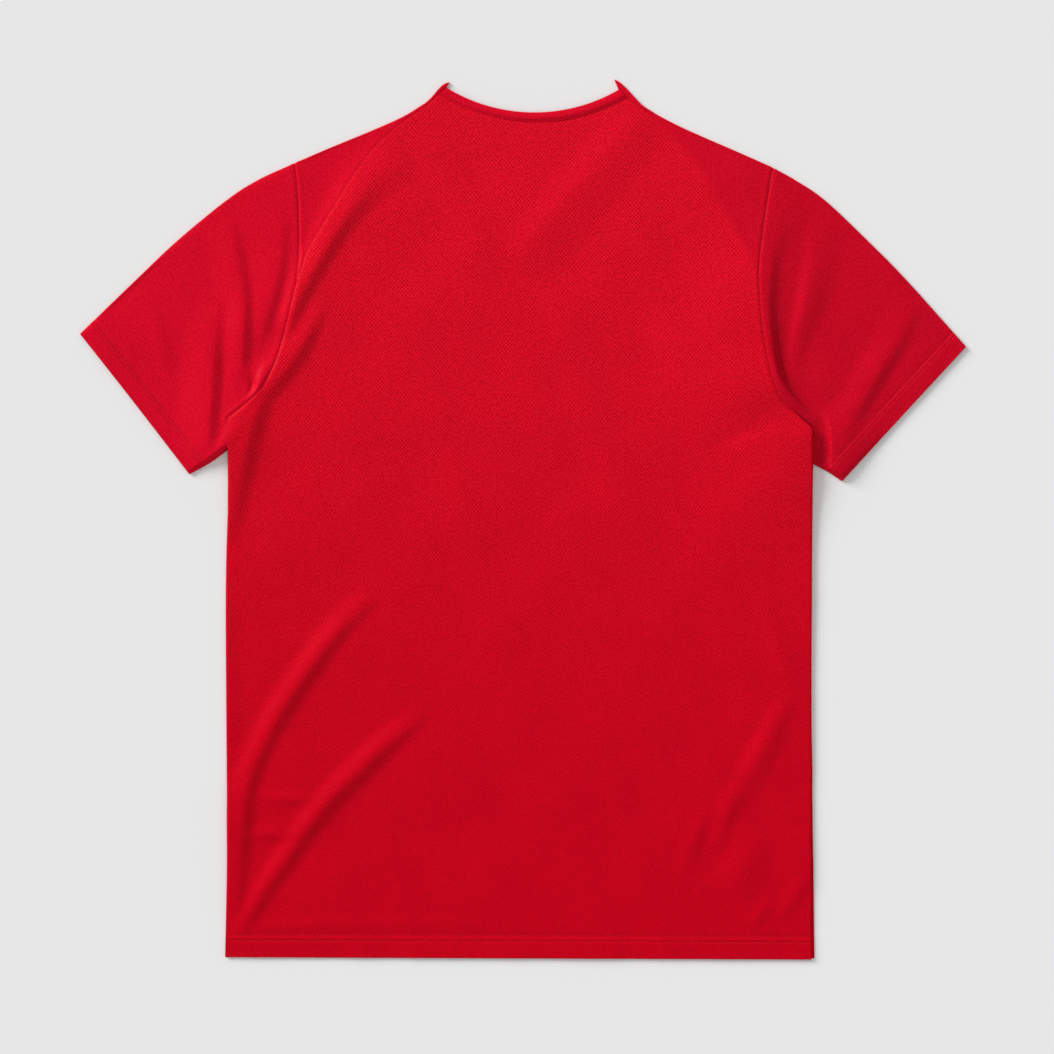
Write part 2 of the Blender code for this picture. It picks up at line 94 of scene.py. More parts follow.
# Creases in the upper layer, mm. First come the widths of the slope to the left of the crest as it is drawn,
# evenly from its start to its end, then those of the slope to the right, then the crest's points: x, y and
# the height there. A negative height is a trough. Most run down, so that the left slope is the shaded one.
creases = {
    "leftShoulder": ((26, 21, 12, 9, 8), (34, 33, 24, 20, 14), [
        (-92, 311, 0), (-112, 302, 1.5), (-133.5, 285, 2.8), (-151.5, 261, 3.7), (-168.5, 231, 3.8),
        (-186, 200, 3.5), (-197, 174, 2.9), (-203, 154, 0),
    ]),
    "leftUnderarmUpper": ((8, 11, 12), (16, 26, 30), [
        (-169, 186, 0), (-177, 171, 1.6), (-187, 153, 3.3), (-198, 136, 3.8), (-210, 120, 3.2),
        (-222, 106, 0),
    ]),
    "leftUnderarm": ((11, 14, 14, 11), (34, 60, 60), [
        (-206, 132, 0), (-216, 117, 1.8), (-226, 98, 4.3), (-234, 76, 4.8), (-240, 50, 4.3),
        (-245, 24, 3.0), (-249, 0, 1.6), (-251, -25, 0),
    ]),
    "leftWaist": ((12, 12, 12), (17, 18, 17), [
        (-126, -62, 0), (-138, -74, 1.4), (-160.5, -97, 3.1), (-182, -126, 3.6), (-205, -160, 3.6),
        (-222, -191, 3.3), (-233, -217, 2.1), (-240, -244, 0),
    ]),
    "leftWaistShelf": ((12, 11, 11), (60, 60), [
        (-222, -191, 0), (-233, -217, 1.3), (-238, -240, 3.0), (-241, -266, 3.1), (-243, -292, 2.5),
        (-246, -320, 1.6), (-250, -345, 0),
    ]),
    "leftHem": ((12, 13, 12, 9), (15, 18, 15, 10), [
        (-82, -163, 0), (-98, -176, 1.6), (-120, -194, 3.1), (-142, -216, 3.5), (-165, -239, 3.5),
        (-186, -265, 3.3), (-204, -291, 3.0), (-221, -316, 2.4), (-236, -341, 1.5), (-246, -358, 0),
    ]),
    "leftCrossUpper": ((11, 11), (5, 5), [
        (-178, -237, 0), (-192, -237, 1.7), (-210, -236, 1.9), (-234, -234, 0),
    ]),
    "leftCrossLower": ((5, 5), (12, 12), [
        (-196, -270.5, 0), (-208, -270, 1.8), (-222, -269.5, 1.8), (-238, -268.5, 0),
    ]),
    "leftEdge": ((14, 14), (7, 7), [
        (-251.5, -20, 0), (-252, -60, 0.7), (-252, -120, 0.7), (-252, -180, 0.7), (-251.5, -210, 0),
    ]),
    "aboveHem": ((6, 6), (8, 8), [
        (60, -346, 0), (-40, -346, 0.4), (-110, -346, 0.7), (-170, -346, 0.9), (-210, -347, 0.9),
        (-240, -348, 0),
    ]),
    "rightWaist": ((13, 18, 19, 14), (13, 15, 16), [
        (228, -146, 0), (219, -165, 1.5), (208, -188, 2.3), (196, -210, 2.1), (184, -233, 1.3),
        (170, -260, 0),
    ]),
    "rightHemUpper": ((9, 11), (14, 14), [
        (184, -226, 0), (176, -244, 1.0), (170, -264, 1.0), (166, -286, 0),
    ]),
    "rightHem": ((20, 29, 30), (24, 24), [
        (206, -264, 0), (199, -277, 1.4), (190, -292, 2.2), (181, -307, 1.9), (170, -324, 0),
    ]),
    "rightHemInner": ((11, 11), (12, 12), [
        (160, -242, 0), (147, -272, 1.1), (134, -306, 0),
    ]),
    "rightHemLow": ((9, 10), (12, 12), [
        (212, -322, 0), (202, -337, 0.9), (190, -350, 0),
    ]),
    "rightCorner": ((9, 9), (14, 14), [
        (242, -300, 0), (236, -316, 1.0), (226, -331, 0.8), (214, -342, 0),
    ]),
    "rightRidge": ((14, 14), (10, 10), [
        (202, -62, 0), (215, -102, 0.8), (232, -150, 0),
    ]),
    "rightBlade": ((14, 22, 36, 44), (20, 30, 50, 60), [
        (100, 178, 0), (124, 157, 1.2), (150, 137, 1.9), (178, 119, 2.5), (206, 104, 2.0), (236, 88, 0),
    ]),
    "collarRight": ((34, 42, 38), (26, 28, 26), [
        (112, 352, 0), (96, 337, 1.4), (60, 297, 1.8), (24, 256, 1.9), (2, 231, 1.4), (-12, 214, 0),
    ]),
    "collarLeft": ((14, 16, 16), (36, 40, 36), [
        (-96, 328, 0), (-82, 308, 0.5), (-58, 272, 0.7), (-34, 236, 0.7), (-18, 212, 0),
    ]),

    "leftSleeveInner": ((10, 9, 10), (32, 36), [
        (-205, 272, 0), (-207, 250, 0.9), (-208, 222, 2.0), (-213, 196, 2.3), (-221, 170, 2.1),
        (-230, 146, 0),
    ]),
    "leftSleeveMiddle": ((10, 10, 9), (24, 28, 26, 14), [
        (-256, 258, 0), (-248, 236, 1.4), (-242, 210, 2.5), (-239.5, 180, 3.4), (-240, 150, 3.4),
        (-241, 130, 2.0), (-241, 119, 0.7), (-241, 110, 0),
    ]),
    "leftSleeveOuter": ((8, 12, 11), (24, 34, 32), [
        (-261, 200, 0), (-262, 182, 0.9), (-264, 157, 2.6), (-266, 126, 3.9), (-268, 94, 3.9),
        (-270, 68, 1.9), (-271, 48, 0),
    ]),
    "leftSleeveFaint": ((12, 12), (12, 12), [
        (-322, 200, 0), (-311, 152, 0.7), (-294, 104, 0),
    ]),
    "leftCorner": ((10, 12, 10), (8, 9, 9), [
        (-235, 95, 0), (-242, 85, 0.7), (-248, 76, 1.1), (-253, 67, 1.2), (-258, 59, 1.4), (-265, 50, 1.0),
        (-272, 42, 0),
    ]),
    "leftKnot": ((7, 7), (6, 5), [
        (-217, 138, 0), (-223, 124, 1.5), (-228, 111, 1.6), (-237, 99, 0),
    ]),
    "leftKnotHole": ((5.5, 5.5), (4.2, 4.2), [
        (-233, 127, 0), (-231, 114.5, -1.8), (-234, 104, 0),
    ]),
    "leftKnotFold": ((9, 11, 9), (24, 26, 20), [
        (-253, 134, 0), (-250.5, 122, 0.8), (-248.5, 112, 0.8), (-245, 103, 0.4), (-241, 95, 0),
    ]),
    "rightArmhole": ((44, 40, 34, 30, 24, 16, 12), (100, 110, 110, 70), [
        (214, 312, 0), (211, 284, 1.2), (207, 248, 1.7), (204, 214, 1.3), (204, 178, 0.6), (209, 141, 0.3),
        (221, 111, 0.3), (240, 88, 0.2), (262, 70, 0),
    ]),
    "rightShadowLine": ((22, 14, 7, 4.4, 3.6, 3.8, 6), (60, 90, 120, 120, 90), [
        (218, 262, 0), (212, 240, 1.2), (209.8, 212, 3.0), (209.7, 180, 4.8), (211.6, 156, 5.6),
        (214.4, 137, 6.0), (218.4, 121.5, 6.0), (226.3, 108.5, 4.8), (235.5, 98.5, 3.2), (247, 88, 1.5),
        (262, 80, 0),
    ]),
    "rightShadowFoot": ((3.2, 3.2), (2.6, 2.6), [
        (213, 196, 0), (214, 176, -0.9), (216, 156, -1.4), (218.8, 138, -1.6), (222.5, 124, -1.6),
        (230, 111, -0.8), (238, 103, 0),
    ]),
    "rightSleeveInner": ((30, 28, 22, 14, 11), (13, 12, 11, 10), [
        (252, 262, 0), (250, 236, 1.2), (246, 208, 2.0), (240, 180, 2.4), (234, 154, 1.7), (231, 130, 0.8),
        (230, 112, 0),
    ]),
    "rightSleeveCuff": ((14, 13, 12), (26, 23, 22), [
        (335, 188, 0), (326, 169, 1.5), (316, 148, 2.6), (302, 126, 3.0), (288, 101, 2.6), (278, 84, 1.4),
        (269, 68, 0),
    ]),
}

# creases of one piece only: the body's right edge stands up off the sleeve, which dips in under it
ownCreases = {
    "body": {
        "rightEdge": ((9, 9), (80, 140, 140, 100, 60), [
            (238, 104, 0), (245, 86, 3.8), (248, 66, 6.8), (248, 40, 6.4), (248, 14, 4.2), (248, -16, 2.4),
            (247.5, -60, 1.7), (247, -130, 1.1), (246.5, -200, 1.0), (246.5, -290, 0.7), (246, -345, 0),
        ]),
    },
    "leftSleeve": {
        "underEdge": ((6, 6), (30, 30), [
            (-253, 67, 0), (-262, 58.5, 1.2), (-272, 52, 1.1), (-283, 46, 0),
        ]),
    },
    "rightSleeve": {
        "underBody": ((7, 7), (12, 12), [
            (250, 88, 0), (252, 76, -0.8), (252, 54, -1.0), (252, 30, -1.0),
        ]),
        "underarmRidge": ((60, 60, 40), (8, 5, 5), [
            (258, 100, 0), (262, 86, 1.8), (263.5, 72, 4.2), (263.5, 58, 4.6), (262.5, 46, 4.2),
            (261, 34, 3.0),
        ]),
    },
}

# slow, shallow waves that no knit lies without, mm
undulations = {"count": 16, "shortest": 28, "longest": 110, "slope": 0.008, "seed": 4}

# where the front neck is open under it, the back layer lies a little lower, mm
neckHollow = {"left": (-66, 316), "lowest": (-9, 222), "right": (101, 343), "depth": 0.2, "width": 12}


def travelled(line):
    steps = np.linalg.norm(np.diff(line, axis=0), axis=1)
    return np.concatenate([[0.0], np.cumsum(steps)])


pointsBetween = 16    # points of a smooth line from one given point to the next


def smoothLine(points, between=pointsBetween):
    # a Catmull-Rom curve through the points, finely divided
    p = np.asarray(points, float)
    p = np.vstack([2 * p[0] - p[1], p, 2 * p[-1] - p[-2]])
    t = np.linspace(0, 1, between, endpoint=False)[:, None]
    stretches = []
    for a, b, c, d in zip(p, p[1:], p[2:], p[3:]):
        bend = (c - a) * t + (2 * a - 5 * b + 4 * c - d) * t**2 + (3 * b - a - 3 * c + d) * t**3
        stretches.append(b + 0.5 * bend)
    return np.vstack([*stretches, p[-2]])


def atDistances(line, distances):
    gone = travelled(line)
    return np.stack([np.interp(distances, gone, line[:, k]) for k in (0, 1)], axis=1)


def evenly(line, steps):
    return atDistances(line, np.linspace(0, travelled(line)[-1], steps + 1))


def joined(*lines):
    # lines that follow one another, with each shared point once
    return np.concatenate([lines[0], *(line[1:] for line in lines[1:])])


def arcThrough(points, count=200):
    # points of the circle's arc through a left, a lowest and a right point
    (ax, ay), (bx, by), (cx, cy) = points
    turn = 2 * (ax * (by - cy) + bx * (cy - ay) + cx * (ay - by))
    a2, b2, c2 = ax**2 + ay**2, bx**2 + by**2, cx**2 + cy**2
    centreX = (a2 * (by - cy) + b2 * (cy - ay) + c2 * (ay - by)) / turn
    centreY = (a2 * (cx - bx) + b2 * (ax - cx) + c2 * (bx - ax)) / turn
    radius = math.hypot(ax - centreX, ay - centreY)
    start, end = math.atan2(ay - centreY, ax - centreX), math.atan2(cy - centreY, cx - centreX)
    angles = start + (end - start) * np.linspace(0, 1, count)
    return np.stack([centreX + radius * np.cos(angles), centreY + radius * np.sin(angles)], axis=1)


nearEdge = (0, 0.5, 1.1, 1.9, 3.0)    # points lie this close together beside a seam or a fold, mm


def crowded(length, steps, nearStart=True, nearEnd=True):
    # distances along a line, close together near its ends
    near = np.array(nearEdge)
    start = near if nearStart else near[:1]
    end = (length - near)[::-1] if nearEnd else np.array([length])
    return np.concatenate([start, np.linspace(start[-1], end[0], steps + 1)[1:-1], end])


def crowdedAlong(line, steps, **near):
    return atDistances(line, crowded(travelled(line)[-1], steps, **near))


def patch(acrossStart, acrossEnd, alongFirst, alongLast):
    # plan points between four border lines, in rows from one across line to the other
    def share(line):
        return travelled(line) / travelled(line)[-1]
    u = ((share(acrossStart) + share(acrossEnd)) / 2)[None, :, None]
    v = ((share(alongFirst) + share(alongLast)) / 2)[:, None, None]
    ruledAlong = (1 - v) * acrossStart[None] + v * acrossEnd[None]
    ruledAcross = (1 - u) * alongFirst[:, None] + u * alongLast[:, None]
    startCorners = (1 - u) * acrossStart[0] + u * acrossStart[-1]
    endCorners = (1 - u) * acrossEnd[0] + u * acrossEnd[-1]
    return ruledAlong + ruledAcross - (1 - v) * startCorners - v * endCorners


def drawnIn(rows, distance):
    # the grid with its edge moved in, so that it stays clear of its neighbours
    tall, wide = rows.shape[:2]
    loop = [(0, i) for i in range(wide)] + [(j, wide - 1) for j in range(1, tall)]
    loop += [(tall - 1, i) for i in range(wide - 2, -1, -1)] + [(j, 0) for j in range(tall - 2, 0, -1)]
    loop = tuple(np.array(loop).T)
    edge = rows[loop]
    ahead = np.roll(edge, -1, axis=0) - edge
    area = np.sum(edge[:, 0] * np.roll(edge[:, 1], -1) - np.roll(edge[:, 0], -1) * edge[:, 1])
    normal = np.stack([-ahead[:, 1], ahead[:, 0]], axis=1) * np.sign(area)
    normal /= np.linalg.norm(normal, axis=1, keepdims=True)
    before = np.roll(normal, 1, axis=0)
    bluntness = np.maximum(1 + np.sum(normal * before, axis=1), 0.4)    # at least 0.4, for sharp corners
    moved = rows.copy()
    moved[loop] += distance * (normal + before) / bluntness[:, None]
    return moved


def nearestOnLine(points, line):
    # distance from the line, side (1 to its left) and length along it, for each point
    gone = travelled(line)
    best = np.full(len(points), np.inf)
    side, along = np.ones(len(points)), np.zeros(len(points))
    for k, (start, step) in enumerate(zip(line[:-1], np.diff(line, axis=0))):
        offset = points - start
        t = np.clip(offset @ step / (step @ step), 0, 1)
        distance = np.linalg.norm(offset - t[:, None] * step, axis=1)
        closer = distance < best
        best[closer] = distance[closer]
        side[closer] = np.sign(step[0] * offset[:, 1] - step[1] * offset[:, 0])[closer]
        along[closer] = (gone[k] + t * (gone[k + 1] - gone[k]))[closer]
    return best, side, along


def distanceTo(plan, line):
    return nearestOnLine(plan.reshape(-1, 2), line)[0].reshape(plan.shape[:-1])


def nearestOf(plan, lines):
    return np.min([distanceTo(plan, line) for line in lines], axis=0)


def eased(x):
    x = np.clip(x, 0, 1)
    return x * x * (3 - 2 * x)


def swell(distance, at, width):
    # a smooth ridge of height 1
    return np.exp(-(((distance - at) / width) ** 2))


def creaseRise(points, crease):
    leftWidths, rightWidths, crestPoints = crease
    line = smoothLine(crestPoints, 12)
    crest, heights = line[:, :2], line[:, 2]
    reach = max(*leftWidths, *rightWidths)
    rise = np.zeros(len(points))
    near = np.all((points > crest.min(axis=0) - reach) & (points < crest.max(axis=0) + reach), axis=1)
    if near.any():
        distance, side, along = nearestOnLine(points[near], crest)
        gone = travelled(crest)
        share = along / gone[-1]
        left, right = (
            np.interp(share, np.linspace(0, 1, len(widths)), widths) for widths in (leftWidths, rightWidths)
        )
        across = 0.5 + 0.5 * np.cos(np.pi * np.minimum(1, distance / np.where(side > 0, left, right)))
        rise[near] = across * np.interp(along, gone, heights)
    return rise


def makeWaves():
    dice = random.Random(undulations["seed"])
    waves = []
    for _ in range(undulations["count"]):
        length = dice.uniform(undulations["shortest"], undulations["longest"])
        heading = dice.uniform(0, math.pi)
        phase = dice.uniform(0, 2 * math.pi)
        waves.append((2 * math.pi / length, math.cos(heading), math.sin(heading), phase))
    return waves


slowWaves = makeWaves()


def waveRise(points):
    rise = np.zeros(len(points))
    for turns, x, y, phase in slowWaves:
        rise += undulations["slope"] / turns * np.sin(turns * (points[:, 0] * x + points[:, 1] * y) + phase)
    return rise


def insideNeck(points):
    # 0 to 1: how far a plan point is inside the open front neck
    lowest = np.array(neckHollow["lowest"], float)
    leftEdge, rightEdge = neckHollow["left"] - lowest, neckHollow["right"] - lowest
    offset = points - lowest
    fromLeft = (leftEdge[1] * offset[:, 0] - leftEdge[0] * offset[:, 1]) / np.linalg.norm(leftEdge)
    fromRight = (rightEdge[0] * offset[:, 1] - rightEdge[1] * offset[:, 0]) / np.linalg.norm(rightEdge)
    return eased(fromLeft / neckHollow["width"]) * eased(fromRight / neckHollow["width"])


def garmentOutline(steps=16):
    left, right = planLines["left"], planLines["right"]
    names = ("collarEnd", "shoulder", "sleeveTop", "cuff")
    lines = [left[name] for name in names] + [left["underarm"][::-1], left["side"][-2::-1]]
    lines += [right["side"], right["underarm"]] + [right[name][::-1] for name in reversed(names)]
    rim = np.vstack([evenly(smoothLine(line), steps) for line in lines])
    # a corner that two lines share is kept once
    return rim[np.append(np.linalg.norm(np.diff(rim, axis=0), axis=1) > 0.1, True)]


outline = garmentOutline()


def clothRise(plan, piece="", rimRoll=cloth["rimRoll"]):
    # height of the upper layer above its flat level
    points = plan.reshape(-1, 2)
    rise = waveRise(points) - neckHollow["depth"] * insideNeck(points)
    for crease in [*creases.values(), *ownCreases.get(piece, {}).values()]:
        rise += creaseRise(points, crease)
    return (rise * eased(nearestOnLine(points, outline)[0] / rimRoll)).reshape(plan.shape[:-1])


# a sewn edge is pulled down into its seam, and the cloth beside it puckers up, mm
seams = {
    "armhole": {"depth": 0.55, "width": 0.75, "ridge": 0.3, "ridgeAt": 3.0, "ridgeWidth": 1.5},
    "yoke": {"depth": 0.2, "width": 0.7, "ridge": 0.06, "ridgeAt": 3.0, "ridgeWidth": 1.6},
    "neck": {"depth": 0.3, "width": 0.9, "ridge": 0.1, "ridgeAt": 2.6, "ridgeWidth": 1.4},
}


def seamDip(distance, kind):
    seam = seams[kind]
    ridge = seam["ridge"] * swell(distance, seam["ridgeAt"], seam["ridgeWidth"])
    return ridge - seam["depth"] * swell(distance, 0, seam["width"])


def seamRelief(plan, sewn):
    return sum(seamDip(nearestOf(plan, lines), kind) for kind, lines in sewn.items())


def underHeight(rise, dip):
    # how far the lower layer follows a crease above it and is pulled up to a seam
    return cloth["throughShare"] * np.maximum(0, rise) + np.maximum(0, -dip)


def sideDrop(distance, height):
    # how far a folded side has come down, as a quarter round that is as tall as it needs
    inside = np.clip(1 - distance / cloth["sideRadius"], 0, 1)
    return height * (1 - np.sqrt(1 - inside**2))


# turned-up hems, mm: double cloth, pulled in along two rows of stitches
bodyHem = {
    "depth": 17.5, "rise": 0.5, "rows": (14.5, 19.7), "pulls": (0.5, 0.25), "stitch": 3.0,
    "rowPoints": 400, "rowEnds": 4,    # a row of stitches stops this many of its points from its ends
}
cuffHem = {
    "depth": 15.5, "rise": 0.5, "rows": (13.8, 17.0), "pulls": (0.4, 0.2), "stitch": 3.0,
    "rowPoints": 300, "rowEnds": 8,
}
hemStep, pullWidth = 1.6, 0.8    # widths of the step where the double cloth ends and of a row's pull, mm


def hemShape(depth, hem):
    rise = hem["rise"] * eased((hem["depth"] - depth) / hemStep + 0.5)
    for row, pull in zip(hem["rows"], hem["pulls"]):
        rise = rise - pull * swell(depth, row, pullWidth)
    return rise


# where a hem's rows of points lie, mm: from its folded edge, and to either side of a row of stitches
hemRows = {
    "fromEdge": (1.4, 2.6, 4.6, 7.2, 9.8), "beside": (-1.8, -1.1, -0.5, 0, 0.5, 1.1, 1.8),
    "apart": 0.35,    # at least, from one row to the next
}


def hemDepths(hem, last):
    # distances from the folded edge: close together at the edge and at the stitches
    near = [cloth["hemFold"], *hemRows["fromEdge"]]
    for row in (*hem["rows"], hem["depth"]):
        near += [row + offset for offset in hemRows["beside"]]
    kept = []
    for depth in sorted([*near, last]):
        if depth <= last and (not kept or depth - kept[-1] > hemRows["apart"]):
            kept.append(depth)
    return kept


def withHeight(plan, height):
    return np.concatenate([plan, np.broadcast_to(height, plan.shape[:-1])[..., None]], axis=-1)


def turnedRows(hem, depths):
    # how many rows the turned-up layer has: it ends 1 mm past the upper row of stitches
    return sum(depth < hem["rows"][-1] + 1 for depth in depths)


def turnAngles(start=math.pi / 2, end=-math.pi / 2):
    # round a fold, without its two ends
    return np.linspace(start, end, cloth["turnSteps"] + 2)[1:-1]


def turnedEdge(outer, inner, out, radius):
    # rows round a folded edge, from the inner layer to the outer one
    rows = []
    for angle in turnAngles(math.pi, 0):
        share = (1 - math.cos(angle)) / 2
        rows.append(outer + (inner - outer) * share + out * radius * math.sin(angle))
    return np.stack(rows)


def unit(vectors):
    return vectors / np.linalg.norm(vectors, axis=-1, keepdims=True)


def linear(code):
    # an sRGB hex colour as linear values
    parts = [int(code[k:k + 2], 16) / 255 for k in (1, 3, 5)]
    return [c / 12.92 if c <= 0.04045 else ((c + 0.055) / 1.055) ** 2.4 for c in parts] + [1.0]


def addNode(tree, kind, inputs=None, **settings):
    node = tree.nodes.new("ShaderNode" + kind)
    for name, value in settings.items():
        setattr(node, name, value)
    for name, value in (inputs or {}).items():
        if isinstance(value, bpy.types.NodeSocket):
            tree.links.new(value, node.inputs[name])
        else:
            node.inputs[name].default_value = value
    return node


def startMaterial(name, finish):
    material = bpy.data.materials.new(name)
    material.use_nodes = True
    shader = material.node_tree.nodes["Principled BSDF"]
    shader.inputs["Roughness"].default_value = finish["roughness"]
    shader.inputs["Specular IOR Level"].default_value = finish["specular"]
    return material, material.node_tree, shader


# Painted light and shade: the knit is painted lighter and pinker towards the shoulders and darker towards
# the right, and its tone is also nowhere quite even.
lightFalloffAndMottle = {
    "paintedLightFrom": -0.34, "paintedLightTo": 0.36,    # metres along the garment
    "paintedShadeFrom": 0.09, "paintedShadeTo": 0.22,   # metres across it
    "mottle": 0.08, "mottleScale": 140.0,   # share of the colour, in patches of about 7 mm
}


def knitColour(tree, knit, level):
    # the loops, where the level is 1, are paler and pinker than the hollows between them: painted highlight
    # on the loops and painted shade in the hollows
    place = addNode(tree, "TexCoord").outputs["Object"]
    parts = addNode(tree, "SeparateXYZ", {0: place})
    ends = []
    for hollows, loops in (("dimHollows", "dimLoops"), ("litHollows", "litLoops")):
        colours = {"Factor": level, "A": linear(knit[hollows]), "B": linear(knit[loops])}
        ends.append(addNode(tree, "Mix", colours, data_type="RGBA").outputs["Result"])
    # painted light: lighter and pinker from the hem up to the shoulders
    topLight = addNode(
        tree, "MapRange",
        {"Value": parts.outputs["Y"], "From Min": lightFalloffAndMottle["paintedLightFrom"], "From Max": lightFalloffAndMottle["paintedLightTo"]},
        interpolation_type="SMOOTHSTEP",
    )
    falloffColour = addNode(
        tree, "Mix", {"Factor": topLight.outputs["Result"], "A": ends[0], "B": ends[1]}, data_type="RGBA",
    )
    mottle = addNode(tree, "TexNoise", {"Vector": place, "Scale": lightFalloffAndMottle["mottleScale"], "Detail": 3.0})
    strength = addNode(
        tree, "MapRange",
        {"Value": mottle.outputs["Fac"], "To Min": 1 - lightFalloffAndMottle["mottle"], "To Max": 1 + lightFalloffAndMottle["mottle"]},
    )
    # painted shade: darker towards the right
    rightShade = addNode(tree, "MapRange", {
        "Value": parts.outputs["X"], "From Min": lightFalloffAndMottle["paintedShadeFrom"], "From Max": lightFalloffAndMottle["paintedShadeTo"],
        "To Min": 1.0, "To Max": knit["rightShadeShare"],
    })
    share = addNode(
        tree, "Math", {0: strength.outputs["Result"], 1: rightShade.outputs["Result"]}, operation="MULTIPLY",
    )
    return addNode(
        tree, "Mix", {"Factor": 1.0, "A": falloffColour.outputs["Result"], "B": share.outputs[0]},
        data_type="RGBA", blend_type="MULTIPLY",
    ).outputs["Result"]


bumpStrength = 0.6    # share of a knit's relief that bends the light


def finishKnit(tree, shader, knit, level):
    tree.links.new(knitColour(tree, knit, level), shader.inputs["Base Color"])
    relief = {"Height": level, "Strength": bumpStrength, "Distance": knit["relief"] * mm}
    bump = addNode(tree, "Bump", relief)
    tree.links.new(bump.outputs["Normal"], shader.inputs["Normal"])


# Bird's-eye mesh, warp-knitted from bright polyester: smooth raised loops catch the light. The small pores
# between them, in offset rows, look dark because they open onto the shaded inside.
meshKnit = {
    # hollows are painted shade and loops painted highlight; the lit pair, used towards the shoulders, is
    # painted lighter and pinker than the dim pair at the hem
    "dimHollows": "#B30010", "dimLoops": "#CB0020", "litHollows": "#B10010", "litLoops": "#EE132F",
    "cell": (3.22, 3.56),    # mm from one pore to the next in its row, and two rows on
    "drift": 1.5,            # mm by which the rows wander
    "openness": (0.35, 0.9), "patchScale": 80.0,    # how open the pores are, in patches of about 12 mm
    "patchNoise": (0.3, 0.7),                       # the noise where they are least and most open
    # the share to which the right side is painted darker, as painted shade
    "unevenness": 3.4, "loopScale": 520.0, "relief": 0.2, "rightShadeShare": 0.98,
    "roughness": 0.43, "specular": 0.034,
}


def makeMeshKnit():
    material, tree, shader = startMaterial("warpKnittedPolyesterMesh", meshKnit)
    uv, across, along = stitchWaves(tree, meshKnit)
    lattice = addNode(tree, "Math", {0: across, 1: along}, operation="MULTIPLY")
    patches = addNode(tree, "TexNoise", {"Vector": uv, "Scale": meshKnit["patchScale"], "Detail": 1.0})
    (low, high), (least, most) = meshKnit["patchNoise"], meshKnit["openness"]
    stretched = addNode(tree, "MapRange", {
        "Value": patches.outputs["Fac"], "From Min": low, "From Max": high, "To Min": least, "To Max": most,
    })
    pores = addNode(
        tree, "Math", {0: lattice.outputs[0], 1: stretched.outputs["Result"]}, operation="MULTIPLY",
    )
    finishKnit(tree, shader, meshKnit, loopLevel(tree, uv, pores.outputs[0], meshKnit))
    return material


wanderScale = 70.0    # the wales and courses wander in patches of about 14 mm


def stitchWaves(tree, knit):
    # a wave of -1 to 1 for the wales and one for the courses, which wander a little
    uv = addNode(tree, "UVMap", uv_map="clothMap").outputs["UV"]
    wander = addNode(tree, "TexNoise", {"Vector": uv, "Scale": wanderScale, "Detail": 1.0}).outputs["Color"]
    shift = addNode(tree, "VectorMath", {0: wander, 1: (0.5, 0.5, 0.5)}, operation="SUBTRACT")
    reach = (knit["drift"] * mm, knit["drift"] * mm, 0.0)
    moved = addNode(
        tree, "VectorMath", {0: shift.outputs[0], 1: reach, 2: uv}, operation="MULTIPLY_ADD",
    )
    turns = tuple(2 * math.pi / (size * mm) for size in knit["cell"]) + (0.0,)
    phase = addNode(tree, "VectorMath", {0: moved.outputs[0], 1: turns}, operation="MULTIPLY")
    parts = addNode(tree, "SeparateXYZ", {0: phase.outputs[0]})
    across = addNode(tree, "Math", {0: parts.outputs["X"]}, operation="COSINE")
    along = addNode(tree, "Math", {0: parts.outputs["Y"]}, operation="COSINE")
    return uv, across.outputs[0], along.outputs[0]


def loopLevel(tree, place, pattern, knit):
    # 0 in a hollow to 1 on a loop, from a pattern of -1 to 1 whose loops are never quite alike
    unevenness = knit["unevenness"]
    chance = addNode(tree, "TexNoise", {"Vector": place, "Scale": knit["loopScale"], "Detail": 2.0})
    summed = addNode(
        tree, "Math", {0: chance.outputs["Fac"], 1: unevenness, 2: pattern}, operation="MULTIPLY_ADD",
    )
    return addNode(
        tree, "MapRange",
        {"Value": summed.outputs[0], "From Min": unevenness / 2 - 1, "From Max": unevenness / 2 + 1},
    ).outputs["Result"]


# Polyester interlock: a close, smooth double knit, whose fine wales give soft dotted lines along each piece.
plainKnit = {
    # hollows are painted shade and loops painted highlight; the lit pair, used towards the shoulders, is
    # painted lighter and pinker than the dim pair at the hem
    "dimHollows": "#B80017", "dimLoops": "#CE072A", "litHollows": "#C10017", "litLoops": "#DD0E2E",
    "cell": (2.05, 2.3),        # mm between wales and between courses, drawn at twice the real size to show
    "drift": 1.0,               # mm by which the wales wander
    "courses": (0.12, 0.36),    # how much the courses break up a wale, and how much of it is always there
    # the share to which the right side is painted darker, as painted shade
    "unevenness": 4.2, "loopScale": 540.0, "relief": 0.06, "rightShadeShare": 0.86,
    "roughness": 0.43, "specular": 0.032,
}


def makePlainKnit():
    material, tree, shader = startMaterial("polyesterInterlock", plainKnit)
    uv, across, along = stitchWaves(tree, plainKnit)
    broken, whole = plainKnit["courses"]
    courses = addNode(tree, "Math", {0: along, 1: broken, 2: whole}, operation="MULTIPLY_ADD")
    dots = addNode(tree, "Math", {0: across, 1: courses.outputs[0]}, operation="MULTIPLY")
    finishKnit(tree, shader, plainKnit, loopLevel(tree, uv, dots.outputs[0], plainKnit))
    return material


# Spun polyester thread, dyed to match: round, with a soft shine and fine slanting plies, whose grooves are
# painted darker as painted shade.
thread = {
    "light": "#D4122C", "shadedGrooves": "#8E0A1A", "roughness": 0.42, "specular": 0.2,
    "ply": 0.5, "width": 0.55, "height": 0.7, "stands": 0.08,    # mm, but height is a share of the width
    "bite": 0.62,                                                # share of a stitch's pitch that shows
}


